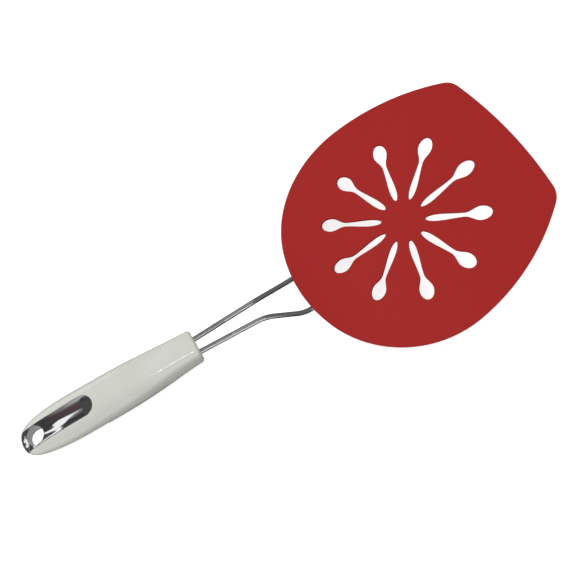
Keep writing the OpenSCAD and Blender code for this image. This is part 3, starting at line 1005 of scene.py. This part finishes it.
# %% World and lamps
TENT_LIGHT, TENT_SEEN = 0.55, 1.0

world = bpy.data.worlds.new("white_tent")
bpy.context.scene.world = world
world.use_nodes = True
tent = world.node_tree.nodes["Background"]
tent.inputs["Color"].default_value = from_hex(WHITE)
levels = {"To Min": TENT_LIGHT, "To Max": TENT_SEEN}
level = add_node(world, "ShaderNodeMapRange", levels, Value=seen_directly(world))
link(level, "Result", tent, "Strength")


def add_lamp(name, place, target, size, power):
    """A soft oblong lamp at a place, aimed at a target, that mirrors don't see."""
    lamp = bpy.data.lights.new(name, "AREA")
    lamp.shape = "RECTANGLE"
    lamp.size, lamp.size_y = size
    lamp.energy = power
    back = unit(np.array(place) - np.array(target))
    right = unit(np.cross([0, 0, 1], back))
    turn = np.stack([right, np.cross(back, right), back], axis=1)
    piece = new_object(name, lamp)
    piece.matrix_world = Matrix.Translation(place) @ Matrix(turn.tolist()).to_4x4()
    piece.visible_glossy = False
    print(name, "gives", power, "W")


add_lamp("key_lamp", (-0.9, 0.85, 1.9), (0, 0, 0.03), (1.2, 1.2), 25)
add_lamp("fill_lamp", (0.1, -1.6, 0.35), (-0.1, 0, 0.02), (0.8, 0.4), 4.0)

# %% [markdown]
# ### What the mirrors see
# Chrome and drawn wire show their surroundings more than themselves. In a tent that is
# white all round they would look like paper. A photographer puts dark and light cards
# round them and leaves gaps for light, and so does this scene. Only reflections meet
# these cards, so they take no light from the object and never stand before the camera.

# %% Card maker
CEILING, LAYER = 1.1, 0.01


def add_card(name, corners, tones, strength=1.0):
    """A flat sheet that only reflections see, in one hex colour or one for each corner."""
    finish, surface = bare_material(name)
    tone = add_node(finish, "ShaderNodeAttribute", {"attribute_name": "tone"})
    shine = add_node(finish, "ShaderNodeEmission", {"Strength": strength}, Color=(tone, "Color"))
    link(shine, "Emission", surface, "Surface")
    card = stage_sheet(name, corners, finish)
    tones = [tones] * len(corners) if isinstance(tones, str) else tones
    layer = card.data.attributes.new("tone", "FLOAT_COLOR", "POINT")
    layer.data.foreach_set("color", np.array([from_hex(t) for t in tones]).ravel())
    for kind in ("camera", "diffuse", "transmission", "shadow", "volume_scatter"):
        setattr(card, "visible_" + kind, False)
    print(name, "spans", np.round(card.dimensions, 3), "m")


def ceiling_sheet(plan, layer):
    """Corners of a level sheet under the ceiling, lower by one step for each layer."""
    return level_sheet(plan, CEILING - layer * LAYER)


def wall(x0, y0, x1, y1):
    """Corners of an upright sheet from the table to the ceiling, between two plan points."""
    return [(x0, y0, 0.0), (x1, y1, 0.0), (x1, y1, CEILING), (x0, y0, CEILING)]


# %% [markdown]
# ### The room in grey cards
# A ceiling and two walls stand for the dim room beyond the tent. The wires and the glossy
# handle show them as soft grey, lighter behind than in front. A bright window in front
# gives the wires the thin light line that runs along them.

# %% Room cards
SIDES, FRONT, BACK = 2.4, -2.0, 2.2
BAY_LEFT, BAY_RIGHT, BAY_MIDDLE = -0.3, 0.6, 0.2
CORNER, WINDOW_BACK, FRONT_GLOW = -0.6, -0.95, 1.9

add_card("dark_ceiling", ceiling_sheet(oblong(-SIDES, SIDES, FRONT, BACK), 0), "#4A4A4A")
add_card("tail_wall", wall(-SIDES, CORNER, -SIDES, BACK), "#5A5A5A")
add_card("far_wall", wall(CORNER, BACK, SIDES, BACK), "#8C8C8C")
front_window = oblong(BAY_LEFT, BAY_RIGHT, FRONT, WINDOW_BACK)
add_card("front_window", ceiling_sheet(front_window, 2), WHITE, FRONT_GLOW)
for name, plan, tone in (
    ("near_ceiling", oblong(BAY_LEFT, BAY_RIGHT, WINDOW_BACK, BAY_MIDDLE), "#A2A2A2"),
    ("back_ceiling", oblong(BAY_LEFT, BAY_RIGHT, BAY_MIDDLE, BACK), "#CACACA"),
    ("side_ceiling", oblong(BAY_RIGHT, SIDES, FRONT, BACK), "#B0B0B0"),
):
    add_card(name, ceiling_sheet(plan, 1), tone)

# %% [markdown]
# ### The line of light on the handle
# A thin bright line runs along the shoulder of the handle, as a strip lamp leaves on glossy
# plastic. The strip is bent, because the shoulder turns towards the tail.

# %% Strip over the shoulder
STRIP_GLOW = 30.0

strip = [(-0.04, -0.23), (-0.12, -0.19), (-0.17, -0.115), (-0.26, -0.125)]
strip += [(-0.26, -0.095), (-0.17, -0.085), (-0.12, -0.145), (-0.04, -0.19)]
add_card("shoulder_strip", ceiling_sheet(strip, 3), WHITE, STRIP_GLOW)

# %% [markdown]
# ### The chrome dish's view of the room
# The dish at the tail is a small hollow mirror that packs a wide piece of room into a few
# millimetres. Its far side shows a pale rim that fades into a dark red-brown. These cards
# fade from corner to corner to give that.

# %% Rim cards
RIM_TONES = {
    -0.55: ("#DCDCDC", "#6A5055", "#6A5458"),
    -0.66: ("#939393", "#604D50", "#5C5456"),
    -0.95: ("#4C4C4C", "#464444", "#4C4A4A"),
}
RIM_YS = (-0.5, -0.09, 0.03, 0.32)

rim_xs = list(RIM_TONES)
for i, (near, far) in enumerate(zip(rim_xs, rim_xs[1:])):
    (n0, n1, n2), (f0, f1, f2) = RIM_TONES[near], RIM_TONES[far]
    corner_tones = ([f0, n0, n0, f0], [f0, n0, n1, f1], [f1, n1, n2, f2])
    for k, kind in enumerate(("rim_card", "rim_fade", "maroon_card")):
        plan = oblong(far, near, RIM_YS[k], RIM_YS[k + 1])
        add_card(f"{kind}_{i}", ceiling_sheet(plan, 3), corner_tones[k])
add_card("nose_card", ceiling_sheet(oblong(-1.9, -1.2, 0.3, 1.7), 1), "#5E5F5C")
nose_tones = ["#C0C0C0", "#C0C0C0", "#8A8A8A", "#8A8A8A"]
add_card("nose_rim_card", ceiling_sheet(oblong(-1.9, -1.28, -0.4, 0.1), 1), nose_tones)

# %% [markdown]
# ### The window in the dish
# The near side of the dish shows a bright window as a forked white streak that thins out
# towards the tip, and the nose shows it once more as a small loop. The window's outline
# was found by following the mirror's rays from the streak's edges in the photograph.

# %% Window cards
WINDOW_GLOW = 1.45

window = [(-2.39, 1.67), (-2.0, 1.56), (-1.75, 1.475), (-1.5, 1.39), (-1.25, 1.34), (-1.1, 1.305)]
window += [(-1.0, 1.26), (-0.94, 1.15), (-0.91, 1.0), (-0.8, 0.9), (-0.74, 0.775), (-0.67, 0.66)]
window += [(-0.622, 0.57), (-0.66, 0.5), (-0.7, 0.43), (-0.75, 0.38), (-0.825, 0.45)]
window += [(-0.875, 0.55), (-0.89, 0.7), (-0.94, 0.775), (-1.0, 0.775), (-1.11, 0.725)]
window += [(-1.16, 0.85), (-1.1, 0.95), (-1.025, 0.975), (-1.01, 1.1), (-1.06, 1.19)]
window += [(-1.25, 1.24), (-1.5, 1.3), (-1.75, 1.41), (-2.0, 1.525), (-2.39, 1.63)]
add_card("dish_window", ceiling_sheet(window, 3), WHITE, WINDOW_GLOW)
fade_tones = ["#B0B0B0", "#565656", "#4A4A4A", "#9A9A9A"]
add_card("window_fade", ceiling_sheet(oblong(-0.74, -0.6, 0.4, 0.86), 2), fade_tones)
tip = [(-2.3, 0.72), (-1.85, 0.6), (-1.6, 0.53), (-1.37, 0.5)]
tip += [(-1.42, 0.6), (-1.65, 0.61), (-1.9, 0.68), (-2.3, 0.79)]
add_card("tip_window", ceiling_sheet(tip, 2), WHITE, WINDOW_GLOW)
wall_patch = [(1.46, 0.86), (1.58, 0.84), (1.7, 1.07), (1.56, 1.07)]
on_wall = [(-SIDES + 2 * LAYER, y, z) for y, z in wall_patch]
add_card("wall_window", on_wall, WHITE, WINDOW_GLOW)

# %% [markdown]
# ### Cards close to the metal
# A thin mirror wire breaks the bright strip up into specks, so grey cards hang just above
# the wires. Another stands between the cranks and the red blade, because the cranks look
# neutral. Dark and grey cards on the table are painted shade: they stand for the table
# where it lies in the object's shade, and give the wires their dark edges and the hole
# its even wall. Two more lie over the dish's rounded front end, which would else show the
# whole window a second time.

# %% Near cards
WIRE_CARD_Z, LEG_CARD_Z, DISH_CARD_Z = 0.09, 0.0175, 0.0222
SHADED_TABLE_Z, SHADED_HOLE_Z = 0.0004, 0.0006
BLADE_CARD_X, BLADE_CARD_Y, BLADE_CARD_TOP = 0.026, 0.06, 0.08

add_card("wire_card", level_sheet(oblong(-0.05, 0.03, -0.05, 0.0), WIRE_CARD_Z), "#A2A2A2")
beside_leg = [(-0.0515, -0.0025), (-0.03, -0.0022), (-0.03, 0.0038), (-0.0515, 0.0029)]
for side in (1, -1):
    plan = [(x, side * LEG_Y * MM + y) for x, y in beside_leg]
    add_card(f"neck_card_{side}", level_sheet(plan, LEG_CARD_Z), "#A2A2A2")
dish_front = oblong(-0.1247, -0.1165, -0.0065, 0.0027)
add_card("dish_front_card", level_sheet(dish_front, DISH_CARD_Z), "#585858")
dish_rim = [(-0.1245, 0.0042), (-0.119, 0.0052), (-0.119, 0.0075), (-0.1245, 0.0075)]
add_card("dish_front_rim_card", level_sheet(dish_rim, DISH_CARD_Z), "#CFCFCF")
upright = oblong(-BLADE_CARD_Y, BLADE_CARD_Y, 0.0, BLADE_CARD_TOP)
add_card("blade_card", [(BLADE_CARD_X, y, z) for y, z in upright], "#868686")
# Painted shade: a near-black sheet that only reflections see, for the shaded table round the
# wires.
add_card("shaded_table_card", level_sheet(oblong(-0.3, 0.12, -0.07, 0.5), SHADED_TABLE_Z), "#1C1C1C")
# Painted shade: a grey sheet that the bore reflects, for the table in the handle's shade.
under_hole = oblong(-0.165, -0.14, -0.012, 0.012)
add_card("shaded_hole_card", level_sheet(under_hole, SHADED_HOLE_Z), "#A8A8A8")

# %% [markdown]
# ## Camera
# The camera stands above the handle's side of the table, about a third of a metre from
# the object. Its place and turn bring the model's outline onto the photograph's.

# %% Camera
LENS, SENSOR_W = 32.224, 36.0
CAMERA_AT = (-0.0488375, -0.1076784, 0.3135946)
# Directions of the picture's right, down and depth in the model's frame.
VIEW_ROWS = np.array(
    [
        [0.85517082, -0.51830660, -0.00641326],
        [-0.47937073, -0.78610125, -0.39019038],
        [0.19719678, 0.33675376, -0.92071186],
    ]
)

view = bpy.data.cameras.new("view")
view.lens, view.sensor_width = LENS, SENSOR_W
view.clip_start = 0.01
camera = new_object("view", view)
turn = Matrix((VIEW_ROWS.T * [1, -1, -1]).tolist()).to_4x4()
camera.matrix_world = Matrix.Translation(CAMERA_AT) @ turn
bpy.context.scene.camera = camera
bpy.context.scene.view_settings.view_transform = "Standard"
print("camera looks along", VIEW_ROWS[2].round(2))
